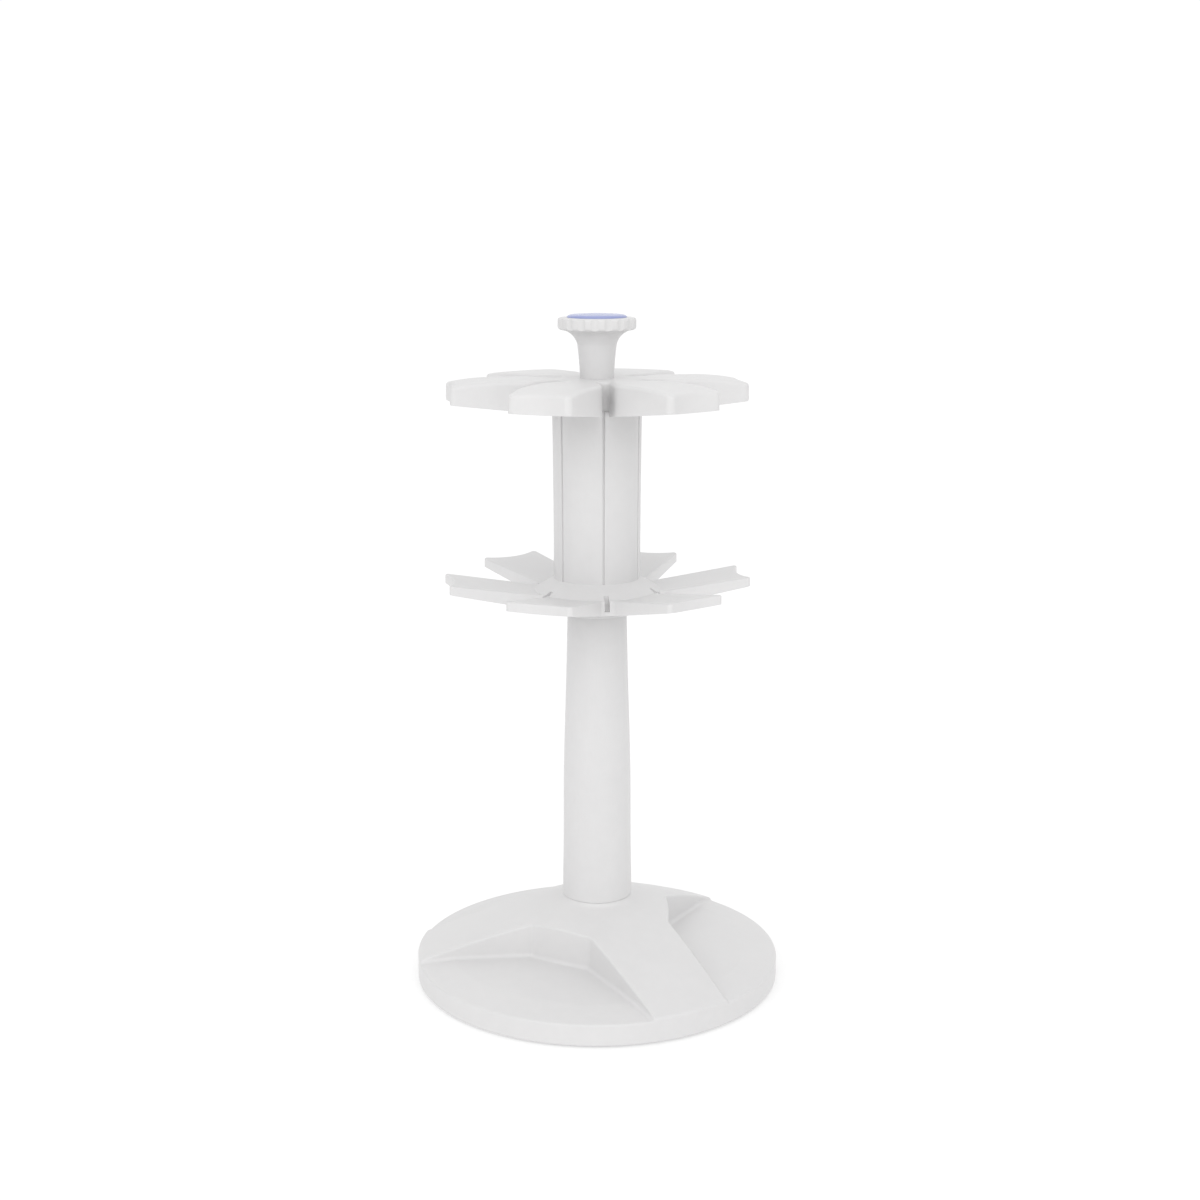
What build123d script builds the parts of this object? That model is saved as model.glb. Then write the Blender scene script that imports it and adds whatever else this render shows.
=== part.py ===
from build123d import *
import os
from math import sin, cos, asin, radians, degrees, sqrt, atan2, hypot

# Rotary stand for six pipettes.  Millimetres, +Z up, origin on the resting
# plane below the centre of the base.  The base pocket that faces -Y is the
# front.  Everything is arranged about the Z axis.

# ---------------------------------------------------------------- dimensions
# base
BASE_R = 89.0            # outer radius of the base rim
BASE_RIM_Z0 = 1.0        # underside of the rim, the feet stand 1 mm proud
BASE_RIM_Z1 = 12.7       # top of the vertical rim wall
CONE_TOP_R = 25.0        # where the conical top turns up into the neck
CONE_TOP_Z = 37.0
NECK_R = 16.9            # neck mouth, flush with the column
NECK_Z = 41.5
BASE_WALL = 2.6
POCKET_N = 3
POCKET_AZ = [-90.0, 30.0, 150.0]     # pocket centre lines
RIDGE_AZ = [-30.0, 90.0, 210.0]      # the ridges between them
POCKET_DRAFT = 4.0
FOOT_FILLET = 2.0
BROW_FILLET = 1.0
FLOOR_PTS = [(0.0, 17.75), (30.0, 17.40), (73.0, 14.2), (89.6, 11.25)]
BOSS_R = 52.0            # pitch radius of the base screws
FOOT_PCR = 74.0
FOOT_R = 6.0
FOOT_N = 6
PLATE_R = 85.8
PLATE_Z0, PLATE_Z1 = 1.4, 3.4
BALLAST_R = 82.0
BALLAST_Z1 = 8.2

# lower column
COL_PTS = [(16.9, 41.5), (16.8, 52.0), (16.55, 66.0), (16.3, 104.0),
           (15.3, 140.0), (14.4, 174.0), (14.05, 190.0)]
COL_BORE_PTS = [(12.0, 28.0), (12.0, 42.5), (14.0, 50.0), (13.8, 104.0),
                (12.9, 140.0), (12.0, 172.0), (11.8, 190.0)]
SPIGOT_R = 14.5
SPIGOT_Z0 = 28.0

# inner metalwork
ROD_R = 4.0
SPINDLE_R = 5.0
HEAD_Z0, HEAD_Z1, HEAD_TOP = 172.0, 190.0, 192.0
THRUST_Z1 = 193.0
RUN = 0.05               # radial running clearance
GAP = 0.10               # axial running clearance
SNUG = 0.02              # radial gap between fixed neighbours

# carousel
CAR_AZ = 8.7             # slot centre lines stand at 8.7 + 60 k degrees
SKIRT_Z0 = 184.4
SKIRT_R = 20.1           # column below the star ring
STAR_Z = 200.7           # top plane of the star ring and its shoulder
CARCOL_PTS = [(20.6, 200.7), (20.65, 230.0), (20.85, 258.0), (21.1, 281.5)]
CARCOL_IR = 18.7
WEB_Z0, WEB_Z1 = 197.6, 200.2
GROOVE_FLOOR = 19.95     # tapered seam grooves down the turning column
GROOVE_HALF = 0.25       # half width of their floor
DISC_R = 72.4
DISC_DISH = 4.6          # how far the petal ends are hollowed
DISC_RIM_Z = 292.8
DISC_UNDER_RIM = 285.1
DISC_UNDER_HUB = 279.3
DISC_HUB_Z = 281.5       # plane that the column and core tube bear on
DISC_TOP_Z = 295.4
DISC_FLAT_R = 50.0       # the top is level out to here and then falls away
DISC_WALL = 2.4
DISC_DRAFT = 1.0
DISC_FILLET = 1.8
ARM_HALF = 15.2          # half width of a petal
SLOT_HALF = 2.85
SLOT_END_R = 21.75       # centre of the slot's round inner end
STAR_R = 74.4
STAR_HALF = 16.3         # half width of an arm at its end
STAR_ROOT = 26.2         # where the two sides of a gap would meet
STAR_DISH = 5.6          # how far the arm ends are hollowed
STAR_BOSS_R, STAR_BOSS_Z = 30.0, 195.1       # foot of the cone round the column
STAR_SKIRT_R, STAR_SKIRT_Z = 24.0, 187.0     # deepest part of the underside
STAR_OUT = 75.5
STAR_TIP_Z = 201.65      # top of the arms at STAR_OUT
STAR_RIM_Z = 197.5       # underside of the arms at STAR_OUT
STAR_SEAT_Z = 194.5      # face the retaining ring bears on
STAR_WALL = 2.3
STAR_EDGE = 0.7
CORE_R, CORE_BORE = 9.2, 7.0
KNOB_R = 18.3
KNOB_N = 18
KNOB_AZ = 16.9           # first scallop
CAP_R = 14.0


# ------------------------------------------------------------------- helpers
def rev(pts):
    """solid of revolution about Z from a closed (r, z) outline"""
    return revolve(make_face(Polyline(*[(r, 0, z) for r, z in pts], close=True)), Axis.Z)


def rev_edges(edges):
    return revolve(make_face(edges), Axis.Z)


def P(r, z):
    return Vector(r, 0, z)


def cyl(r, z0, z1, x=0.0, y=0.0):
    return Pos(x, y, (z0 + z1) / 2) * Cylinder(r, z1 - z0)


def tube(r0, r1, z0, z1):
    return cyl(r1, z0, z1) - cyl(r0, z0 - 1, z1 + 1)


def rz(a):
    return Rot(0, 0, a)


def polar(r, a):
    return (r * cos(radians(a)), r * sin(radians(a)))


def prism(sk, z0, z1):
    return Pos(0, 0, z0) * extrude(sk, z1 - z0)


def one(shape):
    """the largest solid of a shape"""
    s = shape.solids()
    return max(s, key=lambda q: q.volume)


parts = {}

# ---------------------------------------------------------------- base shell
outer = rev_edges([
    Line(P(0, BASE_RIM_Z0), P(BASE_R - 0.5, BASE_RIM_Z0)),
    Line(P(BASE_R - 0.5, BASE_RIM_Z0), P(BASE_R, BASE_RIM_Z0 + 0.5)),
    Line(P(BASE_R, BASE_RIM_Z0 + 0.5), P(BASE_R, BASE_RIM_Z1 - 1.0)),
    Bezier(P(BASE_R, BASE_RIM_Z1 - 1.0), P(BASE_R, BASE_RIM_Z1 + 0.1), P(BASE_R - 1.2, BASE_RIM_Z1 + 0.55)),
    Bezier(P(BASE_R - 1.2, BASE_RIM_Z1 + 0.55), P(57.0, 26.3), P(CONE_TOP_R, CONE_TOP_Z)),
    Bezier(P(CONE_TOP_R, CONE_TOP_Z), P(20.2, 38.6), P(NECK_R, 39.4), P(NECK_R, NECK_Z)),
    Line(P(NECK_R, NECK_Z), P(0, NECK_Z)),
    Line(P(0, NECK_Z), P(0, BASE_RIM_Z0)),
])


def pocket_plan(grow=0.0):
    """pocket outline about +X: two walls parallel to the ridges and a short
    inner wall that faces outward"""
    a = (cos(radians(60)), sin(radians(60)))
    n = (sin(radians(60)), -cos(radians(60)))

    def wall(along, off):
        off = off - grow
        return (along * a[0] + off * n[0], along * a[1] + off * n[1])
    p1, p2 = wall(30.0, 21.2), wall(86.0, 17.6)
    ux, uy = p2[0] - p1[0], p2[1] - p1[1]
    xin = 33.9 - grow
    t = (xin - p1[0]) / ux
    q1 = (xin, p1[1] + t * uy)
    k = 10.0 / hypot(ux, uy)
    q2 = (p2[0] + k * ux, p2[1] + k * uy)
    sk = make_face([
        Line(q1, q2), Line(q2, (120, q2[1])), Line((120, q2[1]), (120, -q2[1])),
        Line((120, -q2[1]), (q2[0], -q2[1])), Line((q2[0], -q2[1]), (q1[0], -q1[1])),
        ThreePointArc((q1[0], -q1[1]), (xin + 0.8, 0), q1)])
    vs = [v for v in sk.vertices() if abs(v.X - q1[0]) < 0.01]
    return fillet(vs, 5.0 + grow * 0.5)


def above(pts, drop=0.0):
    return rev([(r, z - drop) for r, z in pts] + [(125.0, pts[-1][1] - drop), (125.0, 70.0), (0.0, 70.0)])


pocket_prism = extrude(Pos(0, 0, 42.0) * pocket_plan(), amount=36.0, dir=(0, 0, -1), taper=POCKET_DRAFT)
pocket = one(pocket_prism & above(FLOOR_PTS))
foot = [e for e in pocket.edges() if e.center().Z < 17.9 and hypot(e.center().X, e.center().Y) < 88
        and e.geom_type != GeomType.CIRCLE]
pocket = pocket.fillet(FOOT_FILLET, foot)
body = outer
for a in POCKET_AZ:
    body = body - rz(a) * pocket
body = one(body)
brow = []
for e in body.edges():
    c = e.center()
    r = hypot(c.X, c.Y)
    if e.geom_type != GeomType.CIRCLE and 30 < r < 90 and e.length > 2.0 and \
            abs(c.Z - (12.7 + (89 - r) * 0.385)) < 2.2 and abs(c.Z - 14.5) > 0.15:
        brow.append(e)
body = body.fillet(BROW_FILLET, brow)

# hollow below, with the wall following the pockets
hollow = rev([(0, 0.0), (86.4, 0.0), (86.4, 10.4), (62.0, 21.0), (CONE_TOP_R, 34.1), (20.5, 35.6),
              (17.7, 36.3), (17.7, 24.0), (0, 24.0)])
grown = extrude(Pos(0, 0, 42.0) * pocket_plan(BASE_WALL), amount=41.0, dir=(0, 0, -1), taper=POCKET_DRAFT) \
    & above(FLOOR_PTS, BASE_WALL)
for a in POCKET_AZ:
    hollow = hollow - rz(a) * grown
shell = body - hollow
for a in RIDGE_AZ:
    x, y = polar(BOSS_R, a)
    shell = shell + (cyl(5.0, BALLAST_Z1, 31.0, x, y) & rev([(40.0, 5.0), (62.0, 5.0), (62.0, 22.3), (40.0, 30.2)]))
for a in RIDGE_AZ:
    x, y = polar(BOSS_R, a)
    shell = shell - cyl(1.98, BALLAST_Z1 - 1, 21.0, x, y)
shell = shell - cyl(SPIGOT_R + SNUG, 27.0, 50.0) - cyl(ROD_R + 0.3, 20.0, 30.0)
parts["base_shell"] = shell

# base plate, ballast, feet and screws
plate = cyl(PLATE_R, PLATE_Z0, PLATE_Z1) - cyl(13.0, 0, 10)
ballast = cyl(BALLAST_R, PLATE_Z1, BALLAST_Z1) - cyl(14.0, 0, 10)
screws, feet = [], []
for a in RIDGE_AZ:
    x, y = polar(BOSS_R, a)
    sink = Pos(x, y, PLATE_Z0 + 1.0) * Cone(3.9, 2.2, 2.0)
    plate = plate - sink - cyl(2.3, 0, 10, x, y)
    ballast = ballast - cyl(2.4, 0, 10, x, y)
    scr = Pos(x, y, PLATE_Z0 + 1.0) * Cone(3.85, 2.0, 1.98) + cyl(1.95, PLATE_Z0 + 1.0, 20.0, x, y)
    scr = scr - Pos(x, y, PLATE_Z0) * Box(4.4, 0.8, 1.6) - Pos(x, y, PLATE_Z0) * Box(0.8, 4.4, 1.6)
    screws.append(one(scr))
for k in range(FOOT_N):
    x, y = polar(FOOT_PCR, 60.0 * k)
    plate = plate - cyl(FOOT_R + 0.05, PLATE_Z0 - 1, PLATE_Z0 + 0.6, x, y)
    f = cyl(FOOT_R, 0.0, PLATE_Z0 + 0.6, x, y)
    f = f.fillet(0.5, [e for e in f.edges() if e.center().Z < 0.1])
    feet.append(one(f))
parts["base_plate"] = plate
parts["ballast_plate"] = ballast
parts["base_screws"] = screws
parts["rubber_feet"] = feet

# ------------------------------------------------------------- lower column
col = rev_edges([
    Line(P(0, SPIGOT_Z0), P(SPIGOT_R - 0.5, SPIGOT_Z0)),
    Line(P(SPIGOT_R - 0.5, SPIGOT_Z0), P(SPIGOT_R, SPIGOT_Z0 + 0.5)),
    Line(P(SPIGOT_R, SPIGOT_Z0 + 0.5), P(SPIGOT_R, NECK_Z)),
    Line(P(SPIGOT_R, NECK_Z), P(COL_PTS[0][0] - 0.25, NECK_Z)),
    Line(P(COL_PTS[0][0] - 0.25, NECK_Z), P(COL_PTS[0][0], NECK_Z + 0.3)),
    Spline(*[P(r, z + (0.3 if i == 0 else 0)) for i, (r, z) in enumerate(COL_PTS)]),
    Line(P(*COL_PTS[-1]), P(0, COL_PTS[-1][1])),
    Line(P(0, COL_PTS[-1][1]), P(0, SPIGOT_Z0)),
])
col = col - rev([(0, 20.0), (12.0, 20.0)] + COL_BORE_PTS[1:-1] + [(11.8, 190.0), (11.8, 200.0), (0, 200.0)])
parts["lower_column"] = col

head = cyl(11.78, HEAD_Z0 + 6.0, HEAD_Z1) + cyl(14.0, HEAD_Z1, HEAD_TOP)
head = head - cyl(ROD_R + SNUG, HEAD_Z0, 183.0) - cyl(SPINDLE_R + SNUG, 184.0, 200.0)
parts["column_head"] = head
parts["tie_rod"] = cyl(ROD_R, 14.0, 182.8)
parts["tie_rod_washer"] = tube(ROD_R + 0.25, 8.4, 22.4, 24.0)
nut = extrude(Pos(0, 0, 15.9) * RegularPolygon(6.5, 6, major_radius=False), 6.5)
parts["tie_rod_nut"] = nut - cyl(ROD_R + SNUG, 10.0, 30.0)
spin = cyl(SPINDLE_R, 184.1, 269.0) - tube(4.25, 6.0, 265.3, 266.3)
spin = spin.fillet(0.6, [e for e in spin.edges() if e.center().Z > 268.9])
parts["spindle"] = spin
parts["thrust_washer"] = tube(SPINDLE_R + 0.1, 12.0, HEAD_TOP, THRUST_Z1)
clip = tube(4.28, 6.5, 265.32, 266.28) - Pos(5.0, 0, 265.8) * Box(6.0, 3.0, 3.0)
parts["spindle_clip"] = clip

# ------------------------------------------------------- turning parts, core
LB0 = THRUST_Z1 + GAP
LB1 = LB0 + 2.0
parts["lower_bushing"] = tube(SPINDLE_R + RUN, 9.1, LB0, LB1) + tube(SPINDLE_R + RUN, CORE_BORE - SNUG, LB1, 207.0)
parts["upper_bushing"] = tube(SPINDLE_R + RUN, CORE_BORE - SNUG, 254.0, 265.2)
parts["core_tube"] = tube(CORE_BORE, CORE_R, LB1, DISC_HUB_Z) + tube(CORE_BORE, 16.0, LB1, WEB_Z0)

cc = rev_edges([
    Line(P(0, SKIRT_Z0), P(SKIRT_R - 0.5, SKIRT_Z0)),
    Line(P(SKIRT_R - 0.5, SKIRT_Z0), P(SKIRT_R, SKIRT_Z0 + 0.5)),
    Line(P(SKIRT_R, SKIRT_Z0 + 0.5), P(SKIRT_R, STAR_Z)),
    Line(P(SKIRT_R, STAR_Z), P(*CARCOL_PTS[0])),
    Spline(*[P(r, z) for r, z in CARCOL_PTS]),
    Line(P(*CARCOL_PTS[-1]), P(0, CARCOL_PTS[-1][1])),
    Line(P(0, CARCOL_PTS[-1][1]), P(0, SKIRT_Z0)),
])
cc = cc - cyl(18.0, 180.0, WEB_Z0) - cyl(CARCOL_IR, WEB_Z1, 290.0) - cyl(CORE_R + 0.05, 190.0, 210.0)
cc = cc - tube(19.3, 25.0, 193.3, 194.5)
gw = GROOVE_HALF + 0.37 * 2.0
groove = prism(make_face(Polyline((GROOVE_FLOOR, -GROOVE_HALF), (GROOVE_FLOOR + 2.0, -gw), (GROOVE_FLOOR + 2.0, gw),
                                  (GROOVE_FLOOR, GROOVE_HALF), close=True)), 195.5, 290.0)
for k in range(6):
    g = rz(CAR_AZ + 60.0 * k)
    cc = cc - g * groove
parts["carousel_column"] = cc

srr = tube(19.35, 22.3, 193.32, 194.48) - rz(CAR_AZ + 30.0) * (Pos(21.0, 0, 193.9) * Box(5.0, 5.0, 3.0))
parts["star_retaining_ring"] = srr


# ---------------------------------------------------------------- star ring
def star_plan(g=0.0):
    """six arms that widen a little to hollowed ends; g shrinks the outline"""
    gap = radians(30.0) - asin(STAR_HALF / STAR_R)
    beta = atan2(STAR_R * sin(gap), STAR_R * cos(gap) - STAR_ROOT)
    R, root = STAR_R - g, STAR_ROOT - g / sin(beta)
    t = sqrt(R ** 2 - (root * sin(beta)) ** 2) - root * cos(beta)
    ang = 30.0 - degrees(atan2(t * sin(beta), root + t * cos(beta)))
    edges = []
    for k in range(6):
        c = 30.0 + 60.0 * k
        a0, a1 = polar(R, c - ang), polar(R, c + ang)
        edges += [Line(polar(root, c - 30.0), a0), ThreePointArc(a0, polar(R - STAR_DISH, c), a1),
                  Line(a1, polar(root, c + 30.0))]
    sk = make_face(edges)
    vs = [v for v in sk.vertices() if hypot(v.X, v.Y) > R - 2.0]
    sk = fillet(vs, 1.8 - 0.4 * g)
    vs = [v for v in sk.vertices() if hypot(v.X, v.Y) < root + 1.0]
    return fillet(vs, 4.2 + g)


star = prism(star_plan(), 180.0, 205.0)
star = star & rev([(0, STAR_SEAT_Z), (STAR_SKIRT_R, STAR_SEAT_Z), (STAR_SKIRT_R, STAR_SKIRT_Z), (26.5, STAR_SKIRT_Z),
                   (STAR_OUT, STAR_RIM_Z), (STAR_OUT, STAR_TIP_Z), (STAR_BOSS_R, STAR_BOSS_Z), (20.6, STAR_Z), (0, STAR_Z)])
star = one(star)
slope = (STAR_TIP_Z - STAR_BOSS_Z) / (STAR_OUT - STAR_BOSS_R)
rim = []
for e in star.edges():
    m = e.position_at(0.5)
    r = hypot(m.X, m.Y)
    if r > 34.0 and abs(m.Z - STAR_BOSS_Z - slope * (r - STAR_BOSS_R)) < 0.02:
        rim.append(e)
star = star.fillet(STAR_EDGE, rim)
under = prism(star_plan(STAR_WALL), 180.0, 205.0) & rev([(STAR_SKIRT_R + STAR_WALL, 170.0), (STAR_OUT, 170.0),
                                                        (STAR_OUT, STAR_TIP_Z - STAR_WALL), (STAR_BOSS_R, STAR_BOSS_Z - STAR_WALL),
                                                        (STAR_SKIRT_R + STAR_WALL, STAR_BOSS_Z - STAR_WALL)])
for k in range(6):
    under = under - rz(30.0 + 60.0 * k) * (Pos(50.0, 0, 190.0) * Box(60.0, 2.0, 30.0))
star = star - under - cyl(SKIRT_R + 0.05, 180, 210)
for k in range(6):
    star = star - rz(60.0 * k) * (Pos(30.0, 0, 196.5) * Box(6.0, 2.4, 13.0))
parts["star_ring"] = rz(CAR_AZ) * star


# ----------------------------------------------------------------- top disc
def disc_plan(g=0.0):
    """six arms with parallel sides, hollowed ends, and a slot between each
    pair of arms; g shrinks the outline"""
    half, sh, R = ARM_HALF - g, SLOT_HALF + g, DISC_R - g
    s1 = 2.0 * (half + sh * cos(radians(30)))
    se = 95.0
    ve = (se * 0.5 - half) / cos(radians(30))
    sk = Circle(R)
    for k in range(6):
        cut = make_face(Polyline((SLOT_END_R, -sh), (s1, -sh), (se, -ve), (se, ve), (s1, sh), (SLOT_END_R, sh),
                                 close=True)) + Pos(SLOT_END_R, 0) * Circle(sh)
        sk = sk - rz(60.0 * k) * cut
    ang = degrees(asin(half / R))
    for k in range(6):
        c = 30.0 + 60.0 * k
        end = make_face([ThreePointArc(polar(R, c - ang), polar(R - DISC_DISH, c), polar(R, c + ang)),
                         Line(polar(R, c + ang), polar(R + 8.0, c + ang)),
                         Line(polar(R + 8.0, c + ang), polar(R + 8.0, c - ang)),
                         Line(polar(R + 8.0, c - ang), polar(R, c - ang))])
        sk = sk - end
    vs = [v for v in sk.vertices() if abs(hypot(v.X, v.Y) - R) < 0.2]
    sk = fillet(vs, 2.6 - 0.5 * g)
    vs = [v for v in sk.vertices() if abs(hypot(v.X, v.Y) - hypot(s1, sh)) < 0.2]
    return fillet(vs, 9.0 + g)


disc = extrude(Pos(0, 0, 296.0) * disc_plan(), amount=26.0, dir=(0, 0, -1), taper=-DISC_DRAFT)
disc = disc & rev([(0, 279.0), (21.0, DISC_UNDER_HUB), (75.0, 285.4), (75.0, 300.0), (0, 300.0)])
disc = disc & rev_edges([
    Line(P(0, 270.0), P(75.0, 270.0)), Line(P(75.0, 270.0), P(75.0, 292.225)),
    ThreePointArc(P(75.0, 292.225), P(62.5, 294.616), P(DISC_FLAT_R, DISC_TOP_Z)),
    Line(P(DISC_FLAT_R, DISC_TOP_Z), P(0, DISC_TOP_Z)), Line(P(0, DISC_TOP_Z), P(0, 270.0))])
disc = one(disc)
loop = [e for e in disc.edges() if e.center().Z > 291.5 and hypot(e.center().X, e.center().Y) > 18.0
        and not (e.geom_type == GeomType.CIRCLE and abs(e.radius - DISC_FLAT_R) < 0.01)]
disc = disc.fillet(DISC_FILLET, loop)
disc = disc & rev([(0, 270.0), (60.0, 270.0), (70.55, 284.5), (72.3, 290.7), (75.0, 291.0), (75.0, 300.0), (0, 300.0)])
cavity = prism(disc_plan(DISC_WALL), 260.0, 300.0) - cyl(23.6, 250, 310)
cavity = cavity & rev([(0, 260.0), (74.0, 260.0), (74.0, 289.9), (DISC_FLAT_R, 292.9), (0, 292.9)])
for k in range(6):
    cavity = cavity - rz(30.0 + 60.0 * k) * (Pos(45.0, 0, 290.0) * Box(50.0, 2.0, 12.0))
disc = disc - cavity - cyl(21.15, 270.0, DISC_HUB_Z) - cyl(CORE_BORE + 0.05, 270.0, 300.0)
parts["top_disc"] = rz(CAR_AZ) * one(disc)

# --------------------------------------------------------------------- knob
parts["knob_stud"] = cyl(CORE_BORE - SNUG, 270.5, 292.0) + cyl(5.0, 292.0, 311.0)
knob = rev_edges([
    Line(P(0, DISC_TOP_Z), P(7.95, DISC_TOP_Z)),
    ThreePointArc(P(7.95, DISC_TOP_Z), P(8.4, 303.4), P(9.2, 311.0)),
    ThreePointArc(P(9.2, 311.0), P(11.6, 315.3), P(17.0, 317.8)),
    ThreePointArc(P(17.0, 317.8), P(17.95, 318.35), P(KNOB_R, 319.4)),
    Line(P(KNOB_R, 319.4), P(KNOB_R, 322.0)),
    ThreePointArc(P(KNOB_R, 322.0), P(17.9, 323.05), P(17.0, 323.4)),
    Line(P(17.0, 323.4), P(CAP_R + 0.05, 323.5)),
    Line(P(CAP_R + 0.05, 323.5), P(CAP_R + 0.05, 321.4)),
    Line(P(CAP_R + 0.05, 321.4), P(0, 321.4)),
    Line(P(0, 321.4), P(0, DISC_TOP_Z)),
])
knob = knob - cyl(5.0 + SNUG, 290.0, 311.2)
for k in range(KNOB_N):
    x, y = polar(KNOB_R + 2.35, KNOB_AZ + 360.0 / KNOB_N * k)
    knob = knob - cyl(3.1, 312.0, 330.0, x, y)
parts["knob"] = knob
parts["knob_cap"] = rev_edges([
    Line(P(0, 321.4), P(CAP_R, 321.4)),
    Line(P(CAP_R, 321.4), P(CAP_R, 323.7)),
    Bezier(P(CAP_R, 323.7), P(CAP_R - 0.2, 324.5), P(CAP_R - 2.0, 324.75)),
    Bezier(P(CAP_R - 2.0, 324.75), P(6.0, 325.2), P(0, 325.2)),
    Line(P(0, 325.2), P(0, 321.4)),
])

# -------------------------------------------------------------------- write
os.makedirs("parts", exist_ok=True)
for name, shape in parts.items():
    solids = [s for q in shape for s in q.solids()] if isinstance(shape, list) else list(shape.solids())
    out = solids[0] if len(solids) == 1 else Compound(children=solids)
    export_step(out, "parts/" + name + ".step")
    print(name, len(solids), round(sum(s.volume for s in solids), 1))
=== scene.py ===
import bpy, math
from mathutils import Vector, Matrix

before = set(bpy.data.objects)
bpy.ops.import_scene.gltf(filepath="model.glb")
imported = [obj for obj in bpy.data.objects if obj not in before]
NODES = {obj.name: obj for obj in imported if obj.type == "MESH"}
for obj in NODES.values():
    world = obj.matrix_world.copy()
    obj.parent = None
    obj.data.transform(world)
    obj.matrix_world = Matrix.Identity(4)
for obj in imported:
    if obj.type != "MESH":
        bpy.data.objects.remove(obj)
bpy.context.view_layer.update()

scene = bpy.context.scene


# light levels
# the second floor value is painted light: extra floor glow that fills the stand's shadow
FLOOR_FAR, FLOOR_SHADOW_FILL = 0.40, 0.01
SKY_ALL, SKY_LEFT, SKY_RIGHT, SKY_FRONT, SKY_UP = 1.03, -0.32, -0.18, 0.19, 0.06
KEY_W, FRONT_W = 2.15, 0.9


# ------------------------------------------------------------------ materials
def new_mat(name):
    m = bpy.data.materials.new(name)
    m.use_nodes = True
    nt = m.node_tree
    for n in list(nt.nodes):
        nt.nodes.remove(n)
    out = nt.nodes.new("ShaderNodeOutputMaterial")
    bs = nt.nodes.new("ShaderNodeBsdfPrincipled")
    nt.links.new(bs.outputs["BSDF"], out.inputs["Surface"])
    return m, nt, bs


def noise(nt, scale, detail=3.0, rough=0.55, coord=None, dist=0.0):
    n = nt.nodes.new("ShaderNodeTexNoise")
    n.inputs["Scale"].default_value = scale
    n.inputs["Detail"].default_value = detail
    n.inputs["Roughness"].default_value = rough
    n.inputs["Distortion"].default_value = dist
    nt.links.new(coord, n.inputs["Vector"])
    return n


def ramp(nt, src, stops):
    r = nt.nodes.new("ShaderNodeValToRGB")
    el = r.color_ramp.elements
    while len(el) > 1:
        el.remove(el[-1])
    el[0].position, el[0].color = stops[0][0], stops[0][1]
    for p, c in stops[1:]:
        e = el.new(p)
        e.color = c
    nt.links.new(src, r.inputs["Fac"])
    return r


def maprange(nt, src, a, b, lo, hi):
    m = nt.nodes.new("ShaderNodeMapRange")
    m.inputs["From Min"].default_value = a
    m.inputs["From Max"].default_value = b
    m.inputs["To Min"].default_value = lo
    m.inputs["To Max"].default_value = hi
    nt.links.new(src, m.inputs["Value"])
    return m


def bump(nt, height, strength, distance, normal=None):
    b = nt.nodes.new("ShaderNodeBump")
    b.inputs["Strength"].default_value = strength
    b.inputs["Distance"].default_value = distance
    nt.links.new(height, b.inputs["Height"])
    if normal is not None:
        nt.links.new(normal, b.inputs["Normal"])
    return b


def plastic(name, base, dark, rough=(0.34, 0.46), grain=0.00003, grain_scale=2600.0, wave=0.00006,
            spec=0.45, seed=(0, 0, 0), dust=0.0):
    """satin moulded plastic: fine spark-eroded grain, slow sink marks,
    a slightly uneven colour and uneven gloss"""
    m, nt, bs = new_mat(name)
    tc = nt.nodes.new("ShaderNodeTexCoord")
    mp = nt.nodes.new("ShaderNodeMapping")
    mp.inputs["Location"].default_value = seed
    nt.links.new(tc.outputs["Object"], mp.inputs["Vector"])
    c = mp.outputs["Vector"]
    big = noise(nt, 18.0, 2.0, 0.5, c)
    mid = noise(nt, 160.0, 4.0, 0.6, c)
    fine = noise(nt, grain_scale, 2.0, 0.5, c)
    mix = nt.nodes.new("ShaderNodeMix")
    mix.data_type = "RGBA"
    mix.inputs[6].default_value = (*base, 1)
    mix.inputs[7].default_value = (*dark, 1)
    f = maprange(nt, big.outputs["Fac"], 0.35, 0.7, 0.0, 1.0)
    nt.links.new(f.outputs["Result"], mix.inputs[0])
    # faint speckle in the pigment
    sp = maprange(nt, mid.outputs["Fac"], 0.3, 0.75, 0.985, 1.012)
    mul = nt.nodes.new("ShaderNodeVectorMath")
    mul.operation = "SCALE"
    nt.links.new(mix.outputs[2], mul.inputs[0])
    nt.links.new(sp.outputs["Result"], mul.inputs["Scale"])
    nt.links.new(mul.outputs["Vector"], bs.inputs["Base Color"])
    rr = maprange(nt, mid.outputs["Fac"], 0.25, 0.75, rough[0], rough[1])
    nt.links.new(rr.outputs["Result"], bs.inputs["Roughness"])
    b1 = bump(nt, big.outputs["Fac"], 0.35, wave * 8)
    b2 = bump(nt, fine.outputs["Fac"], 0.5, grain * 4, b1.outputs["Normal"])
    nt.links.new(b2.outputs["Normal"], bs.inputs["Normal"])
    bs.inputs["Specular IOR Level"].default_value = spec
    bs.inputs["IOR"].default_value = 1.5
    return m


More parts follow.
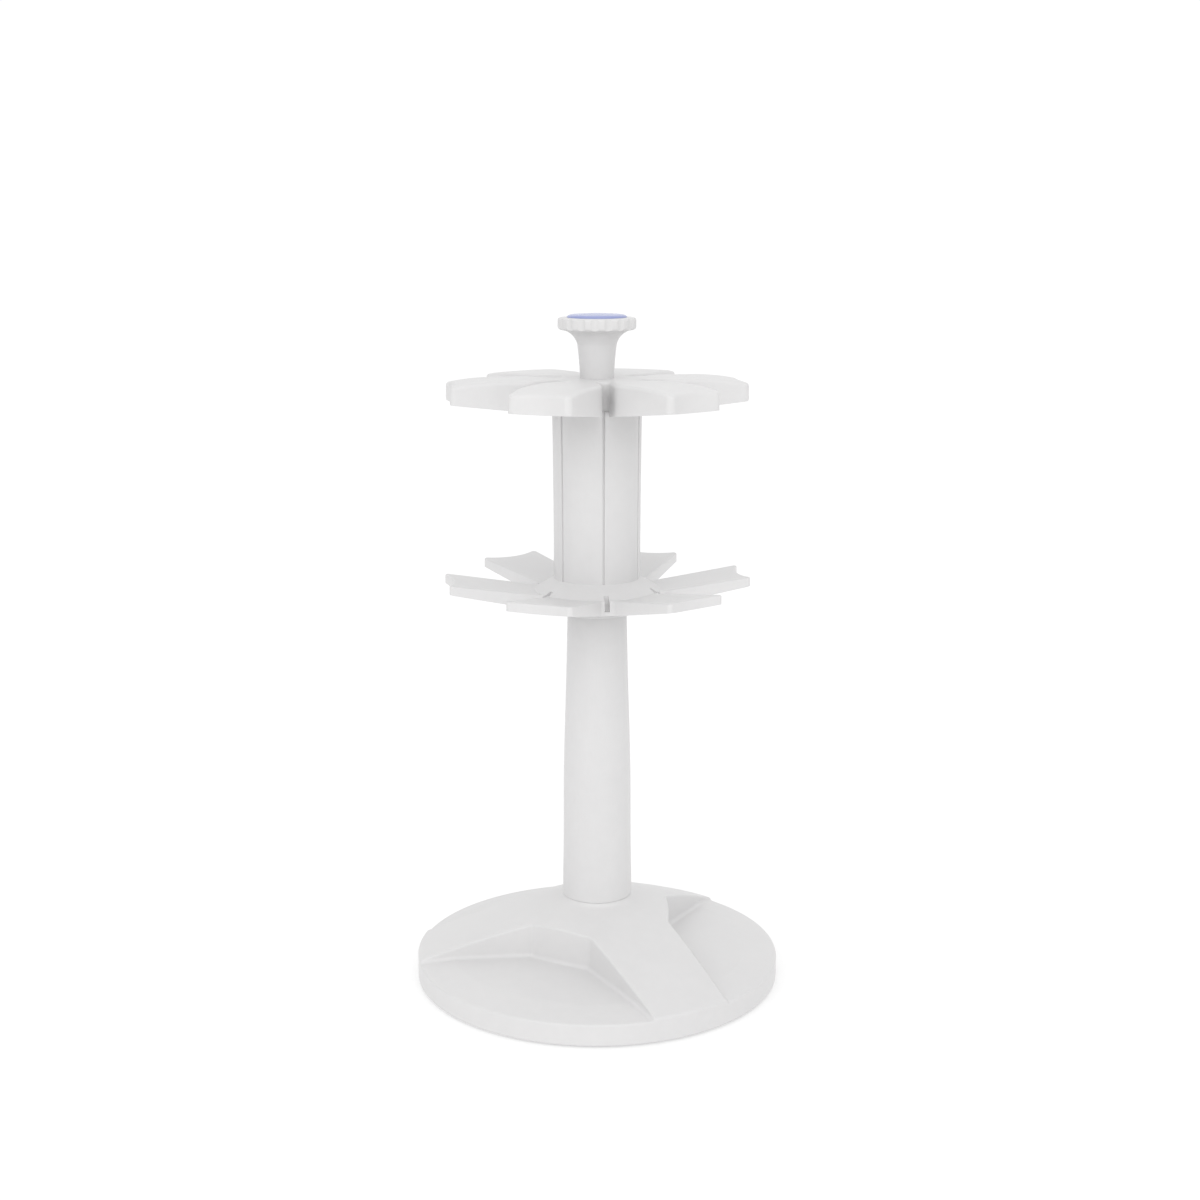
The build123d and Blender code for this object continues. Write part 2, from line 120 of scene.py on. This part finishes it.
def metal(name, base, rough=(0.22, 0.38), scale=(1, 1, 30), grain=700.0, dist=0.00002):
    m, nt, bs = new_mat(name)
    tc = nt.nodes.new("ShaderNodeTexCoord")
    mp = nt.nodes.new("ShaderNodeMapping")
    mp.inputs["Scale"].default_value = scale
    nt.links.new(tc.outputs["Object"], mp.inputs["Vector"])
    n = noise(nt, grain, 4.0, 0.6, mp.outputs["Vector"])
    n2 = noise(nt, 40.0, 3.0, 0.6, tc.outputs["Object"])
    col = ramp(nt, n2.outputs["Fac"], [(0.3, (*[b * 0.88 for b in base], 1)), (0.7, (*base, 1))])
    nt.links.new(col.outputs["Color"], bs.inputs["Base Color"])
    rr = maprange(nt, n.outputs["Fac"], 0.3, 0.7, rough[0], rough[1])
    nt.links.new(rr.outputs["Result"], bs.inputs["Roughness"])
    b = bump(nt, n.outputs["Fac"], 0.4, dist)
    nt.links.new(b.outputs["Normal"], bs.inputs["Normal"])
    bs.inputs["Metallic"].default_value = 1.0
    return m


def rubber(name):
    m, nt, bs = new_mat(name)
    tc = nt.nodes.new("ShaderNodeTexCoord")
    n = noise(nt, 900.0, 4.0, 0.6, tc.outputs["Object"])
    n2 = noise(nt, 90.0, 3.0, 0.6, tc.outputs["Object"])
    col = ramp(nt, n2.outputs["Fac"], [(0.35, (0.018, 0.018, 0.019, 1)), (0.7, (0.05, 0.05, 0.05, 1))])
    nt.links.new(col.outputs["Color"], bs.inputs["Base Color"])
    rr = maprange(nt, n.outputs["Fac"], 0.3, 0.7, 0.65, 0.85)
    nt.links.new(rr.outputs["Result"], bs.inputs["Roughness"])
    b = bump(nt, n.outputs["Fac"], 0.5, 0.0001)
    nt.links.new(b.outputs["Normal"], bs.inputs["Normal"])
    return m


WHITE = (0.69, 0.685, 0.685)
WHITE_D = (0.675, 0.67, 0.672)
mats = {}
for i, n in enumerate(["base_shell", "lower_column", "carousel_column", "star_ring", "top_disc", "knob"]):
    mats[n] = plastic("moulded_white_" + n, WHITE, WHITE_D, seed=(0.37 * i, 0.21 * i, 0.13 * i))
mats["knob_cap"] = plastic("blue_cap", (0.30, 0.34, 0.60), (0.28, 0.32, 0.57), rough=(0.16, 0.24), seed=(3, 1, 2))
mats["base_plate"] = plastic("grey_plate", (0.42, 0.42, 0.43), (0.38, 0.38, 0.39), rough=(0.45, 0.6), seed=(5, 1, 2))
bearing = plastic("natural_bearing", (0.80, 0.78, 0.70), (0.76, 0.74, 0.66), rough=(0.4, 0.5), seed=(1, 4, 2))
for n in ("thrust_washer", "lower_bushing", "upper_bushing"):
    mats[n] = bearing
steel = metal("steel_hardware", (0.56, 0.56, 0.57))
for n in ("base_screws", "tie_rod", "tie_rod_washer", "tie_rod_nut", "spindle", "spindle_clip", "star_retaining_ring"):
    mats[n] = steel
mats["ballast_plate"] = metal("zinc_ballast", (0.48, 0.49, 0.51), rough=(0.4, 0.6), scale=(1, 1, 1), grain=260.0)
alloy = metal("turned_alloy", (0.72, 0.73, 0.74), rough=(0.25, 0.4), scale=(1, 1, 40), grain=500.0)
for n in ("column_head", "core_tube", "knob_stud"):
    mats[n] = alloy
mats["rubber_feet"] = rubber("rubber")

for n, ob in NODES.items():
    ob.data.materials.clear()
    ob.data.materials.append(mats[n])

# --------------------------------------------------------------------- stage
def floor_plane():
    me = bpy.data.meshes.new("floor")
    s = 6.0
    me.from_pydata([(-s, -s, 0), (s, -s, 0), (s, s, 0), (-s, s, 0)], [], [(0, 1, 2, 3)])
    ob = bpy.data.objects.new("floor", me)
    scene.collection.objects.link(ob)
    m, nt, bs = new_mat("floor_pale")
    tc = nt.nodes.new("ShaderNodeTexCoord")
    n = noise(nt, 3.0, 2.0, 0.5, tc.outputs["Object"])
    c = ramp(nt, n.outputs["Fac"], [(0.3, (0.59, 0.59, 0.59, 1)), (0.7, (0.61, 0.61, 0.61, 1))])
    nt.links.new(c.outputs["Color"], bs.inputs["Base Color"])
    # the floor glows evenly like a light table; the small extra glow where the stand shades it is painted light that
    # fills in the stand's shadow
    gr = nt.nodes.new("ShaderNodeVectorMath")
    gr.operation = "LENGTH"
    nt.links.new(tc.outputs["Object"], gr.inputs[0])
    shadow_fill_glow = nt.nodes.new("ShaderNodeMapRange")
    shadow_fill_glow.interpolation_type = "SMOOTHSTEP"
    shadow_fill_glow.inputs["From Min"].default_value = 0.09
    shadow_fill_glow.inputs["From Max"].default_value = 0.22
    shadow_fill_glow.inputs["To Min"].default_value = FLOOR_FAR + FLOOR_SHADOW_FILL
    shadow_fill_glow.inputs["To Max"].default_value = FLOOR_FAR
    nt.links.new(gr.outputs["Value"], shadow_fill_glow.inputs["Value"])
    nt.links.new(shadow_fill_glow.outputs["Result"], bs.inputs["Emission Strength"])
    bs.inputs["Emission Color"].default_value = (1, 1, 1, 1)
    bs.inputs["Roughness"].default_value = 0.9
    bs.inputs["Specular IOR Level"].default_value = 0.1
    me.materials.append(m)
    return ob


floor_plane()

CAM_AZ = 30.0                       # the camera stands at row angle -60 degrees
RIGHT = Vector((math.cos(math.radians(CAM_AZ)), math.sin(math.radians(CAM_AZ)), 0))
AWAY = Vector((-math.sin(math.radians(CAM_AZ)), math.cos(math.radians(CAM_AZ)), 0))
UP = Vector((0, 0, 1))


def at(right, toward, up):
    """point given by the camera's right, towards the camera, and height"""
    return RIGHT * right - AWAY * toward + UP * up


def area(name, pos, target, size, power, color=(1, 1, 1), size_y=None):
    ld = bpy.data.lights.new(name, "AREA")
    ld.energy = power
    ld.color = color
    ld.shape = "RECTANGLE"
    ld.size = size
    ld.size_y = size_y or size
    lo = bpy.data.objects.new(name, ld)
    lo.location = pos
    lo.rotation_mode = "QUATERNION"
    lo.rotation_quaternion = (Vector(target) - Vector(pos)).to_track_quat("-Z", "Y")
    scene.collection.objects.link(lo)
    return lo


# a bright studio tent: white behind the stand, a little dimmer to the right
# and behind the camera
world = bpy.data.worlds.new("studio")
scene.world = world
world.use_nodes = True
wt = world.node_tree
bg = wt.nodes["Background"]
gen = wt.nodes.new("ShaderNodeTexCoord")


def dot(direction):
    d = wt.nodes.new("ShaderNodeVectorMath")
    d.operation = "DOT_PRODUCT"
    d.inputs[1].default_value = direction
    wt.links.new(gen.outputs["Generated"], d.inputs[0])
    return d.outputs["Value"]


def smooth(src, a, b, lo, hi):
    m = wt.nodes.new("ShaderNodeMapRange")
    m.interpolation_type = "SMOOTHSTEP"
    m.inputs["From Min"].default_value = a
    m.inputs["From Max"].default_value = b
    m.inputs["To Min"].default_value = lo
    m.inputs["To Max"].default_value = hi
    wt.links.new(src, m.inputs["Value"])
    return m.outputs["Result"]


def plus(x, y):
    m = wt.nodes.new("ShaderNodeMath")
    m.operation = "ADD"
    wt.links.new(x, m.inputs[0])
    wt.links.new(y, m.inputs[1])
    return m.outputs["Value"]


k = smooth(dot(-RIGHT), 0.35, 0.95, SKY_ALL, SKY_ALL + SKY_LEFT)
k = plus(k, smooth(dot(RIGHT), 0.35, 0.95, 0.0, SKY_RIGHT))
k = plus(k, smooth(dot(-AWAY), 0.1, 0.8, 0.0, SKY_FRONT))
k = plus(k, smooth(dot(UP), 0.3, 0.95, 0.0, SKY_UP))
wt.links.new(k, bg.inputs["Strength"])
bg.inputs["Color"].default_value = (1.0, 1.0, 1.0, 1)

area("key", at(-0.75, 1.2, 0.9), (0, 0, 0.18), 0.9, KEY_W)
area("front", at(0.15, 1.2, 1.1), (0, 0, 0.15), 0.8, FRONT_W)

# -------------------------------------------------------------------- camera
cd = bpy.data.cameras.new("camera")
cd.sensor_width = 36.0
cd.sensor_fit = "AUTO"
cd.lens = 1830.0 / 1200.0 * 36.0
cam = bpy.data.objects.new("camera", cd)
scene.collection.objects.link(cam)
cam.location = at(0.0014, 0.8586, 0.3717)
pitch = math.radians(12.0)
fwd = AWAY * math.cos(pitch) - UP * math.sin(pitch)
up = AWAY * math.sin(pitch) + UP * math.cos(pitch)
rot = Matrix((RIGHT, up, -fwd)).transposed()
cam.rotation_mode = "QUATERNION"
cam.rotation_quaternion = rot.to_quaternion()
cd.clip_start, cd.clip_end = 0.01, 50.0
scene.camera = cam

scene.view_settings.view_transform = "Standard"
scene.view_settings.look = "None"
scene.view_settings.exposure = 0.0
scene.view_settings.gamma = 1.0
